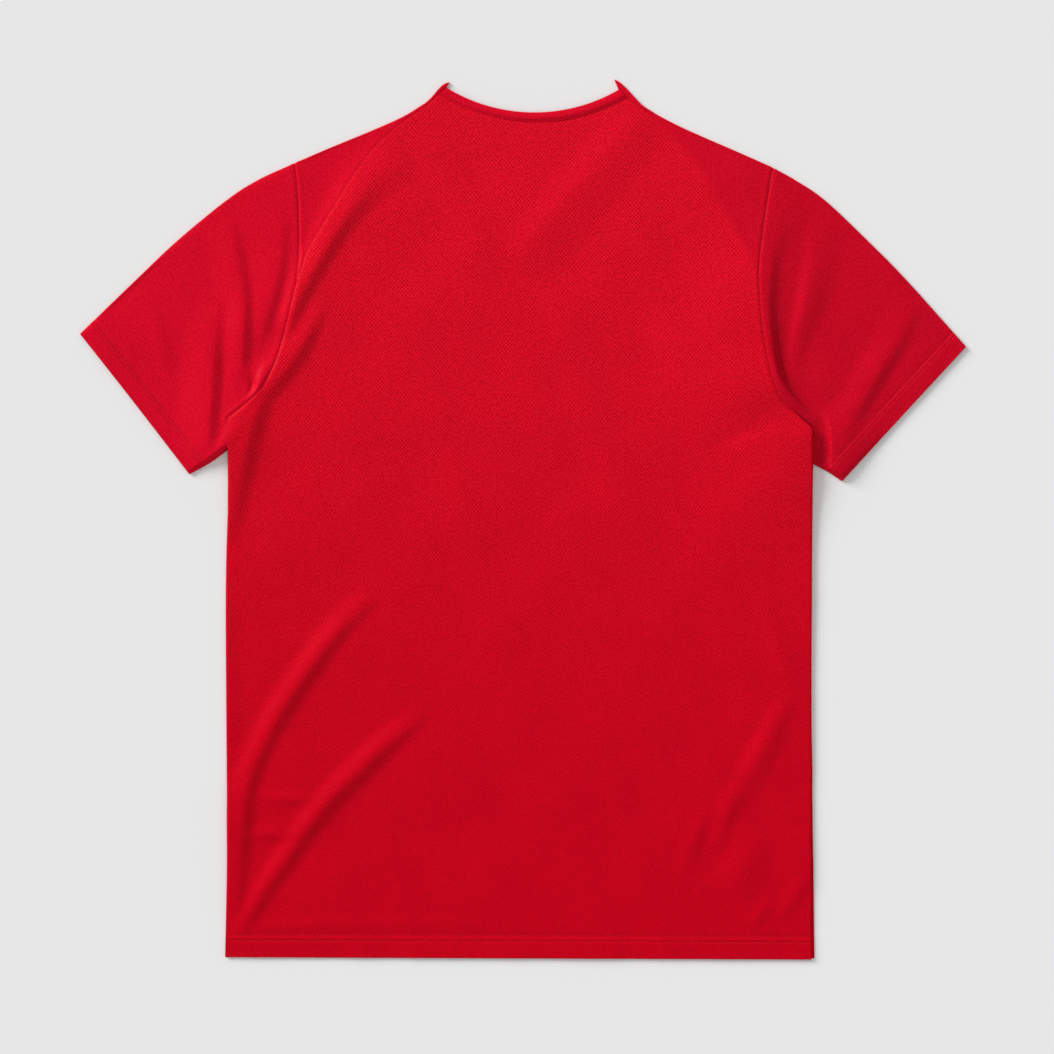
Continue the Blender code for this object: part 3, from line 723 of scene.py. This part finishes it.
def makeThread():
    material, tree, shader = startMaterial("spunPolyesterThread", thread)
    place = addNode(tree, "TexCoord").outputs["Object"]
    turns = 2 * math.pi / (thread["ply"] * mm)
    phase = addNode(tree, "VectorMath", {0: place, 1: (turns,) * 3}, operation="DOT_PRODUCT")
    ply = addNode(tree, "Math", {0: phase.outputs["Value"]}, operation="SINE")
    share = addNode(tree, "MapRange", {"Value": ply.outputs[0], "From Min": -1.0, "From Max": 1.0})
    # the darker ply colour is painted shade in the grooves between the plies
    colours = {"Factor": share.outputs["Result"], "A": linear(thread["shadedGrooves"]), "B": linear(thread["light"])}
    colour = addNode(tree, "Mix", colours, data_type="RGBA")
    tree.links.new(colour.outputs["Result"], shader.inputs["Base Color"])
    return material


meshMaterial, plainMaterial, threadMaterial = makeMeshKnit(), makePlainKnit(), makeThread()
print("materials made")


def clothObject(name, rows, material, node, mapPlaces=None, ring=False):
    # a layer of cloth: a grid laid onto rows of points, in mm, that gets its thickness below its outer face
    mapPlaces = rows[..., :2] if mapPlaces is None else mapPlaces
    if ring:
        rows = np.concatenate([rows, rows[:, :1]], axis=1)
        mapPlaces = np.concatenate([mapPlaces, mapPlaces[:, :1]], axis=1)
    tall, wide = rows.shape[:2]
    bm = bmesh.new()
    clothMap = bm.loops.layers.uv.new("clothMap")
    bmesh.ops.create_grid(bm, x_segments=wide - 1, y_segments=tall - 1, size=0.5)
    places = [(round((v.co.y + 0.5) * (tall - 1)), round((v.co.x + 0.5) * (wide - 1))) for v in bm.verts]
    for vert, place in zip(bm.verts, places):
        vert.co = rows[place] * mm
    for face in bm.faces:
        face.smooth = True
        for loop in face.loops:
            loop[clothMap].uv = mapPlaces[places[loop.vert.index]] * mm
    if ring:
        bmesh.ops.remove_doubles(bm, verts=bm.verts, dist=cloth["weld"] * mm)
    for edge in bm.edges:
        edge.smooth = not edge.is_boundary    # the cut edge's thickness doesn't bend the shading of the face
    piece = newPiece(name, bm, material)
    wall = piece.modifiers.new("clothThickness", "SOLIDIFY")
    wall.thickness = cloth["thickness"] * mm
    wall.offset = -1.0
    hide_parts(node)
    return piece


def placed(name, data):
    thing = bpy.data.objects.new(name, data)
    bpy.context.scene.collection.objects.link(thing)
    return thing


def meshObject(name, bm, material):
    mesh = bpy.data.meshes.new(name)
    bm.to_mesh(mesh)
    bm.free()
    mesh.materials.append(material)
    return placed(name, mesh)


def newPiece(name, bm, material):
    piece = meshObject(name, bm, material)
    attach(piece, "root")
    return piece


# The body: a back and a front, cut alike but for the neck. Numbers are rows and columns of points.
body = {
    "hemTop": 26.0, "sideRows": 120, "armholeRows": 38, "yokeRows": 52, "columns": 150,
    "frontSideRows": 60, "frontColumns": 70, "rimRoll": 1.0,
    "halfWidth": 250,                # mm
    "neckRow": 0.35,                 # the row between a neck corner's ends, as a share of its length
    "frontCorner": (249, -374.5),    # the front's right corner shows past the back's
    "vPoint": (-9, 228),             # lowest point of the front neck's seam
    "sideCurl": 5.0,                 # how far in the front comes up to meet a raised side of the back
}


def bodyBorder(side, corner, sideRows):
    # a body panel's edge from the hem to the neck, with rows at the hem's own depths
    lines = planLines[side]
    seam = smoothLine([corner, *lines["side"][1:]])
    upper = np.linspace(body["hemTop"], travelled(seam)[-1], sideRows + 1)
    depths = np.concatenate([hemDepths(bodyHem, body["hemTop"]), upper[1:]])
    armhole = evenly(smoothLine(lines["armhole"]), body["armholeRows"])
    yoke = crowdedAlong(smoothLine(lines["yokeSeam"]), body["yokeRows"])
    return joined(atDistances(seam, depths), armhole, yoke)


def withNeckRows(border, corner):
    line = smoothLine(corner)
    length = travelled(line)[-1]
    near = length - np.array(nearEdge)[::-1]
    return joined(border, atDistances(line, [0, length * body["neckRow"], *near]))


def sewnLines(*neckLines):
    # the lines along which a body panel is sewn to its neighbours
    return {
        "armhole": [smoothLine(planLines[side]["armhole"], 8) for side in sides],
        "yoke": [smoothLine(planLines[side]["yokeSeam"], 8) for side in sides],
        "neck": neckLines,
    }


def sideEdges(plan, between=6):
    # distance from the nearer side; the left one ends where the sleeve goes on, a stretch before its end
    left, right = (smoothLine(planLines[side]["side"], between) for side in sides)
    return nearestOf(plan, [left[:-between], right])


neckCorners = [smoothLine(planLines[side]["neckCorner"], 8) for side in sides]
backSewn = sewnLines(arcThrough(backNeckSeam, 60), *neckCorners)
backHemLine = np.array([planLines[side]["side"][0] for side in sides], float)


def backHeight(plan):
    height = cloth["backTop"] + clothRise(plan, "body", body["rimRoll"]) + seamRelief(plan, backSewn)
    height += hemShape(distanceTo(plan, backHemLine), bodyHem)
    return height


def withTurnedHem(plan, outerHeight, innerHeight, depths):
    # the outer layer, the fold along its lower edge and the turned-up layer, as rows from the inside out
    outer = withHeight(plan, outerHeight)
    turned = turnedRows(bodyHem, depths)
    inner = withHeight(plan[:turned], innerHeight[:turned])
    middle = inner[:, :, 0].mean()
    inner[:, :, 0] = middle + (inner[:, :, 0] - middle) * (1 - cloth["sideRadius"] / body["halfWidth"])
    fold = turnedEdge(outer[0], inner[0], np.array([0.0, -1.0, 0.0]), cloth["hemFold"])
    return np.concatenate([inner[::-1], fold, outer])


def slopeMap(rows):
    # each point's place in the flat cloth: its plan place, moved on by what the slopes take up
    def takenUp(axis):
        step = np.diff(rows, axis=axis)
        more = np.linalg.norm(step, axis=2) - np.linalg.norm(step[..., :2], axis=2)
        return np.insert(np.cumsum(more, axis=axis), 0, 0, axis=axis)
    across, along = takenUp(1), takenUp(0)
    across -= across[:, [rows.shape[1] // 2]]
    return rows[..., :2] + np.stack([across, along], axis=2)


def alongWales(rows, heading):
    # places in a cloth whose wales run along a heading in the plan
    ahead = unit(np.array(heading, float))
    return rows[..., :2] @ np.array([[ahead[1], ahead[0]], [-ahead[0], ahead[1]]])


def backBorder(side):
    lines = planLines[side]
    return withNeckRows(bodyBorder(side, lines["side"][0], body["sideRows"]), lines["neckCorner"])


def makeBackPanel():
    left, right = backBorder("left"), backBorder("right")
    hemLine = crowdedAlong(np.array([left[0], right[0]]), body["columns"])
    neckLine = crowdedAlong(arcThrough(backNeckSeam), body["columns"])
    plan = drawnIn(patch(hemLine, neckLine, left, right), cloth["sewnGap"])
    height = backHeight(plan)
    under = height - 2 * cloth["hemFold"]
    outer = height - sideDrop(sideEdges(plan), height / 2)
    rows = withTurnedHem(plan, outer, under, hemDepths(bodyHem, body["hemTop"]))
    return clothObject("backPanelCloth", rows, meshMaterial, "back_panel", slopeMap(rows))


def makeFrontPanel():
    corners = {"left": planLines["left"]["side"][0], "right": body["frontCorner"]}
    left, right = (bodyBorder(side, corners[side], body["frontSideRows"]) for side in sides)
    vNeck = np.array([left[-1], body["vPoint"], right[-1]], float)
    steps = body["frontColumns"] // 2
    toPoint = crowdedAlong(vNeck[:2], steps, nearEnd=False)
    neckLine = joined(toPoint, crowdedAlong(vNeck[1:], steps, nearStart=False))
    hemLine = crowdedAlong(np.array([left[0], right[0]]), len(neckLine) + 1 - 2 * len(nearEdge))
    plan = drawnIn(patch(hemLine, neckLine, left, right), cloth["sewnGap"])
    rise = np.maximum(0, clothRise(plan, "body", body["rimRoll"]))
    lift = underHeight(rise, seamRelief(plan, sewnLines(vNeck)))
    depth = distanceTo(plan, np.array([corners[side] for side in sides], float))
    hemLift = bodyHem["pulls"][0] / 2 * swell(depth, bodyHem["rows"][0], pullWidth)
    fromSide = sideEdges(plan)
    lift = lift + (rise - lift) * swell(fromSide, 0, body["sideCurl"]) / 2
    outer = lift + hemLift + sideDrop(fromSide, cloth["backTop"] / 2)
    inner = lift + 2 * cloth["hemFold"] - cloth["pressed"]
    rows = withTurnedHem(plan, outer, inner, hemDepths(bodyHem, body["hemTop"]))
    return clothObject("frontPanelCloth", rows[:, ::-1], meshMaterial, "front_panel")


backPanel, frontPanel = makeBackPanel(), makeFrontPanel()
print("body panels made")


# A shoulder piece wraps over the shoulder from the back to the front.
shoulderPiece = {"rows": body["yokeRows"], "columns": 34}


def outOf(plan, column):
    # unit vectors that point out of a grid at its first or last column
    return unit(plan[:, column] - plan[:, 1 if column == 0 else -2])


def turnOver(plan, out, top, quarter):
    # points round a side fold, from the upper layer down (1) or from the lower one up (-1)
    radius = top / 2
    turned = []
    for angle in turnAngles() * quarter:
        moved = plan + out * (radius * math.cos(angle))[:, None]
        turned.append(withHeight(moved, radius + radius * math.sin(angle)))
    return np.stack(turned, axis=1)


def makeShoulderPiece(side):
    lines = planLines[side]
    shoulder, seam = smoothLine(lines["shoulder"]), smoothLine(lines["yokeSeam"])[::-1]
    armEnd = smoothLine(lines["yokeEnd"])[::-1]
    neckEnd = np.array([shoulder[0], seam[0]])
    along = [crowdedAlong(line, shoulderPiece["rows"]) for line in (shoulder, seam)]
    armColumns = crowded(travelled(armEnd)[-1], shoulderPiece["columns"])
    neckColumns = armColumns / armColumns[-1] * travelled(neckEnd)[-1]
    plan = patch(atDistances(neckEnd, neckColumns), atDistances(armEnd, armColumns), *along)
    out = outOf(plan, 0)
    plan = drawnIn(plan, cloth["sewnGap"])
    share = (armColumns / armColumns[-1])[None, :, None]
    plan = plan - (cloth["backTop"] / 2) * (1 - share) * out[:, None]
    sewn = {"armhole": [smoothLine(lines["yokeEnd"])], "yoke": [smoothLine(lines["yokeSeam"])]}
    rise, dip = clothRise(plan), seamRelief(plan, sewn)
    upper, lower = cloth["backTop"] + rise + dip, underHeight(rise, dip)
    fold = turnOver(plan[:, 0], out, upper[:, 0], 1)
    rows = np.concatenate([withHeight(plan, upper)[:, ::-1], fold, withHeight(plan, lower)], axis=1)
    if side == "right":
        rows = rows[:, ::-1]
    return clothObject(f"{side}ShoulderCloth", rows, plainMaterial, f"shoulder_{side}")


# A sleeve is a tube pressed flat, with a turned-in cuff hem.
sleeve = {
    "rows": 70, "besideBody": 16, "cuffTop": 23.0,
    "waleSlope": 1.03,        # the wales run down the sleeve this steeply
    "narrowed": 20.0,         # the width beside each fold that gives way to its roundness, mm
    "underarmShare": 0.76,    # how far along the cuff the cloth from the underarm's corner comes down
}


def inwardFrom(edge, inside):
    # unit vectors in the plan, square to a line, on the side where a point inside is
    tangent = unit(np.gradient(edge, axis=0))
    inward = np.stack([-tangent[:, 1], tangent[:, 0]], axis=1)
    return inward * np.sign(np.sum(inward * (inside - edge), axis=1))[:, None]


def cuffRows(side, columns):
    # rows beside the cuff's edge, at the hem's own depths, and each one's depth
    lines = planLines[side]
    cuff, top, under = (smoothLine(lines[name]) for name in ("cuff", "sleeveTop", "underarm"))
    edge = atDistances(cuff, columns)
    inward = inwardFrom(edge, top[0])
    share = (columns / columns[-1])[:, None]
    depths = hemDepths(cuffHem, sleeve["cuffTop"])
    rows = []
    for depth in depths:
        row = edge + inward * depth
        firstMiss = atDistances(top[::-1], [depth]) - row[:1]
        lastMiss = atDistances(under[::-1], [depth]) - row[-1:]
        rows.append(row + (1 - share) * firstMiss + share * lastMiss)
    return np.stack(rows), depths, -inward


def makeSleeve(side):
    lines = planLines[side]
    sewn = joined(    # the same points as the pieces that it is sewn to
        crowdedAlong(smoothLine(lines["yokeEnd"])[::-1], shoulderPiece["columns"]),
        evenly(smoothLine(lines["armhole"]), body["armholeRows"])[::-1],
    )
    bodyStretch = smoothLine(lines["side"])[-1 - pointsBetween:][::-1]    # at the armhole's end
    corner, stretch = travelled(sewn)[-1], travelled(bodyStretch)[-1]
    armhole, armLength = joined(sewn, bodyStretch), corner + stretch
    armColumns = joined(travelled(sewn), corner + crowded(stretch, sleeve["besideBody"]))
    cuffShares = np.interp(
        armColumns / armLength, (0, corner / armLength, 1), (0, sleeve["underarmShare"], 1),
    )
    cuffColumns = travelled(smoothLine(lines["cuff"]))[-1] * cuffShares
    hem, depths, out = cuffRows(side, cuffColumns)
    top, under = smoothLine(lines["sleeveTop"]), smoothLine(lines["underarm"])
    topLength, underLength = (travelled(line)[-1] - sleeve["cuffTop"] for line in (top, under))
    topRows = crowded(topLength, sleeve["rows"], nearEnd=False)
    underRows = topRows / topRows[-1] * underLength
    firstRow, firstColumn, lastColumn = (
        atDistances(*border) for border in ((armhole, armColumns), (top, topRows), (under, underRows))
    )
    main = patch(firstRow, hem[-1], firstColumn, lastColumn)
    plan = drawnIn(np.concatenate([main[:-1], hem[::-1]]), cloth["sewnGap"])
    rise = clothRise(plan, f"{side}Sleeve")
    dip = seamDip(distanceTo(plan, sewn), "armhole")
    hemRise = hemShape(distanceTo(plan, smoothLine(lines["cuff"])), cuffHem)
    fromFirst, fromLast = (
        np.clip(1 - gone / sleeve["narrowed"], 0, 1) for gone in (armColumns, armLength - armColumns)
    )
    firstOut, lastOut = outOf(plan, 0), outOf(plan, -1)
    radius = (cloth["backTop"] + hemRise[:, [0, -1]]) / 2
    plan = plan - radius[:, :1, None] * fromFirst[None, :, None] * firstOut[:, None]
    plan = plan - radius[:, 1:, None] * fromLast[None, :, None] * lastOut[:, None]
    upper = cloth["backTop"] + rise + dip + hemRise
    lower = underHeight(rise, dip)
    lastTurn = turnOver(plan[:, -1], lastOut, upper[:, -1], 1)
    firstTurn = turnOver(plan[:, 0], firstOut, upper[:, 0], -1)
    outer = np.concatenate(
        [withHeight(plan, upper), lastTurn, withHeight(plan, lower)[:, ::-1], firstTurn], axis=1,
    )
    rows = withTurnedCuff(outer, plan.shape[1], out, depths, lastOut, firstOut)
    if side == "left":
        rows = rows[:, ::-1]
    clothPlaces = alongWales(rows, (-1 if side == "left" else 1, -sleeve["waleSlope"]))
    return clothObject(
        f"{side}SleeveCloth", rows, plainMaterial, f"sleeve_{side}", clothPlaces, ring=True,
    )


def withTurnedCuff(outer, width, out, depths, lastOut, firstOut):
    # the tube, the fold at its cuff and the layer that is turned in
    angles = turnAngles()
    down = np.tile([0.0, 0.0, -1.0], (width, 1))
    lastIn = [np.append(-lastOut[-1] * math.cos(a), -math.sin(a)) for a in angles]
    firstIn = [np.append(-firstOut[-1] * math.cos(a), math.sin(a)) for a in angles]
    inward = np.concatenate([down, lastIn, -down, firstIn])
    lastHeading, firstHeading = (np.tile(out[k], (len(angles), 1)) for k in (-1, 0))
    heading = withHeight(np.concatenate([out, lastHeading, out[::-1], firstHeading]), 0.0)
    inner = outer[-turnedRows(cuffHem, depths):] + inward * (2 * cloth["hemFold"] - cloth["pressed"])
    fold = turnedEdge(outer[-1], inner[-1], heading, cloth["hemFold"])
    return np.concatenate([outer, fold[::-1], inner[::-1]])


shoulders = {side: makeShoulderPiece(side) for side in sides}
sleeves = {side: makeSleeve(side) for side in sides}
print("shoulder pieces and sleeves made")


# The back neck is bound with a folded strip of plain knit.
neckband = {
    "columns": body["columns"], "top": 2.75, "under": 1.35, "crown": 0.9,
    "groove": 0.5, "grooveAt": 0.9, "grooveWidth": 0.9,    # where it is sewn down, mm
    "depths": (0.05, 0.5, 1.0, 1.5, 2.0, 2.5, 3.1, 3.9, 5.0, 6.1),    # of its rows from the seam, mm
}


def makeNeckband():
    arcs = [arcThrough(points) for points in (backNeckSeam, backNeckTop)]
    seam, top = (crowdedAlong(arc, neckband["columns"]) for arc in arcs)
    across = unit(top - seam)
    width = np.linalg.norm(top - seam, axis=1)
    radius = (neckband["top"] - neckband["under"]) / 2
    depths = np.array([*neckband["depths"], width.min() - radius])
    plan = seam + across * (depths[:, None, None] / width.min()) * width[:, None]
    puff = neckband["crown"] * np.sin(np.pi * np.clip(depths / width.min(), 0, 1))
    puff -= neckband["groove"] * swell(depths, neckband["grooveAt"], neckband["grooveWidth"])
    outerHeight = neckband["top"] + puff[:, None] + np.minimum(0, seamDip(depths, "neck"))[:, None]
    outer = withHeight(plan, outerHeight)
    inner = withHeight(plan, neckband["under"])
    fold = turnedEdge(outer[-1], inner[-1], withHeight(across, 0.0), radius)[::-1]
    rows = np.concatenate([outer, fold, inner[::-1]])
    return clothObject("backNeckband", rows, plainMaterial, "back_neckband")


# The front neck has a V-shaped collar of folded plain knit. Its ends come round past the neck corners as
# thin blades, a little higher than the rest of it.
frontCollar = {
    "inner": (-6, 262), "tip": 1.2, "steps": 34, "endSteps": 16, "tipSteps": 3, "thickness": 1.3,
    "bladeRise": 0.8, "bladeSlope": 1.6,
    "shares": (0.005, 0.03, 0.06, 0.1, 0.15, 0.21, 0.28, 0.36, 0.48, 0.62, 0.78, 0.92),
}


def bladeRise(plan):
    # how far the collar's ends stand up outside the back's edge
    rise = np.zeros(plan.shape[:-1])
    for side, bandCorner, outside in (("left", backNeckTop[0], 1), ("right", backNeckTop[2], -1)):
        line = smoothLine([*planLines[side]["neckCorner"], bandCorner], 8)
        distance, way, _ = nearestOnLine(plan.reshape(-1, 2), line)
        beyond = eased(distance * way * outside / frontCollar["bladeSlope"]).reshape(rise.shape)
        rise += frontCollar["bladeRise"] * beyond
    return rise


def makeFrontCollar():
    ends = [evenly(smoothLine(planLines[side]["collarEnd"]), frontCollar["endSteps"]) for side in sides]
    corners = [np.array(planLines[side]["yokeSeam"][-1]) for side in sides]
    point = np.array(body["vPoint"], float)
    arms = [evenly(np.array([corner, point]), frontCollar["steps"]) for corner in corners]
    outerHalves = [joined(end, np.array([end[-1], arm[0]]), arm) for end, arm in zip(ends, arms)]
    innerHalves = []
    for half, bandCorner in zip(outerHalves, (backNeckTop[0], backNeckTop[2])):
        tip = half[0] - (0, frontCollar["tip"])
        blade = evenly(np.array([tip, bandCorner]), frontCollar["tipSteps"])
        stepsLeft = len(half) - 1 - frontCollar["tipSteps"]
        rest = evenly(np.array([bandCorner, frontCollar["inner"]], float), stepsLeft)
        innerHalves.append(joined(blade, rest))
    seam, edge = (joined(halves[0], halves[1][::-1]) for halves in (outerHalves, innerHalves))
    across = unit(edge - seam)
    width = np.linalg.norm(edge - seam, axis=1)
    radius = np.minimum(frontCollar["thickness"], width) / 2
    shares = np.array([*frontCollar["shares"], 1.0])
    plan = seam + shares[:, None, None] * (width - radius)[:, None] * across
    top = frontCollar["thickness"] + bladeRise(plan)
    top -= sideDrop(distanceTo(plan, seam), top / 2)
    lower, upper = withHeight(plan, 0.0), withHeight(plan, top)
    fold = turnedEdge(lower[-1], upper[-1], withHeight(across * radius[:, None], 0.0), 1.0)[::-1]
    rows = np.concatenate([lower, fold, upper[::-1]]).swapaxes(0, 1)
    return clothObject("frontCollarCloth", rows, plainMaterial, "front_collar", ring=True)


backNeckband, collar = makeNeckband(), makeFrontCollar()
print("neck made")


# Rows of coverstitch hold the hems. A stitch shows as a short round dash that bites in at both ends.
def stitchRow(bm, places, heights, pitch):
    # places and heights run along the row, in mm
    gone = travelled(places)
    middles = np.arange(pitch / 2, gone[-1], pitch)
    spots = np.stack([np.interp(middles, gone, values) for values in (*places.T, heights)], axis=1)
    headings = unit(np.stack([np.gradient(spots[:, k]) for k in range(3)], axis=1))
    width = thread["width"]
    size = Matrix.Diagonal((pitch * thread["bite"], width, width * thread["height"], 1.0))
    for spot, heading in zip(spots, headings):
        turn = Vector(heading).to_track_quat("X", "Z").to_matrix().to_4x4()
        place = Matrix.Translation(Vector(spot) * mm + Vector((0, 0, thread["stands"] * mm)))
        bmesh.ops.create_icosphere(bm, subdivisions=1, radius=0.5 * mm, matrix=place @ turn @ size)


def makeStitches(name, hem, rowLine, rowHeight):
    # one dash after another along each row; rowLine gives a row's line in the plan, rowHeight its heights
    bm = bmesh.new()
    for depth in hem["rows"]:
        row = evenly(rowLine(depth), hem["rowPoints"])[hem["rowEnds"]:-hem["rowEnds"]]
        stitchRow(bm, row, rowHeight(row, depth), hem["stitch"])
    for face in bm.faces:
        face.smooth = True
    return newPiece(name, bm, threadMaterial)


def makeHemStitches():
    sideLines = [smoothLine(planLines[side]["side"]) for side in sides]

    def rowLine(depth):
        return np.array([atDistances(line, [depth])[0] for line in sideLines])

    return makeStitches("hemStitches", bodyHem, rowLine, lambda row, depth: backHeight(row))


def makeCuffStitches(side):
    cuff = smoothLine(planLines[side]["cuff"])
    inward = inwardFrom(cuff, smoothLine(planLines[side]["sleeveTop"])[0])

    def rowHeight(row, depth):
        hemRise = hemShape(np.full(len(row), depth), cuffHem)
        return cloth["backTop"] + clothRise(row, f"{side}Sleeve") + hemRise

    return makeStitches(f"{side}CuffStitches", cuffHem, lambda depth: cuff + inward * depth, rowHeight)


hemStitches = makeHemStitches()
cuffStitches = {side: makeCuffStitches(side) for side in sides}
print("stitches made")

# A plain pale floor under soft studio light, seen from straight above.
stage = {
    "floorColour": "#E7E7E7", "floorSize": 60.0, "grain": 0.01, "grainScale": 700.0,
    "lightFrom": (-1.0, 0.7, 0.5),    # towards the upper left, low above the floor
    "lightPower": 3.31, "lightSpread": 26.0, "fill": 0.60,
    "pixel": 0.8547 * mm, "frame": 1054, "middle": (0.00342, -0.00598), "cameraHeight": 3.0,
}


def makeStage():
    bm = bmesh.new()
    bmesh.ops.create_grid(bm, x_segments=1, y_segments=1, size=stage["floorSize"] / 2)
    material, tree, shader = startMaterial("matteFloorPaint", {"roughness": 1.0, "specular": 0.0})
    place = addNode(tree, "TexCoord").outputs["Object"]
    grain = addNode(tree, "TexNoise", {"Vector": place, "Scale": stage["grainScale"]}).outputs["Fac"]
    reach = {"Value": grain, "To Min": 1 - stage["grain"], "To Max": 1 + stage["grain"]}
    strength = addNode(tree, "MapRange", reach)
    colours = {"Factor": 1.0, "A": linear(stage["floorColour"]), "B": strength.outputs["Result"]}
    colour = addNode(tree, "Mix", colours, data_type="RGBA", blend_type="MULTIPLY")
    tree.links.new(colour.outputs["Result"], shader.inputs["Base Color"])
    floor = meshObject("floor", bm, material)


def makeLight():
    lamp = bpy.data.lights.new("softKey", "SUN")
    lamp.energy = stage["lightPower"]
    lamp.angle = math.radians(stage["lightSpread"])
    key = placed("softKey", lamp)
    key.rotation_mode = "QUATERNION"
    key.rotation_quaternion = Vector(stage["lightFrom"]).to_track_quat("Z", "Y")
    world = bpy.data.worlds.new("studio")
    world.use_nodes = True
    world.node_tree.nodes["Background"].inputs["Color"].default_value = (1.0, 1.0, 1.0, 1.0)
    world.node_tree.nodes["Background"].inputs["Strength"].default_value = stage["fill"]
    bpy.context.scene.world = world
    bpy.context.scene.view_settings.view_transform = "Standard"


def makeCamera():
    lens = bpy.data.cameras.new("camera")
    lens.sensor_width = 36.0
    lens.lens = lens.sensor_width * stage["cameraHeight"] / (stage["frame"] * stage["pixel"])
    camera = placed("camera", lens)
    camera.location = (*stage["middle"], stage["cameraHeight"])
    bpy.context.scene.camera = camera


makeStage()
makeLight()
makeCamera()
print("stage, light and camera set")
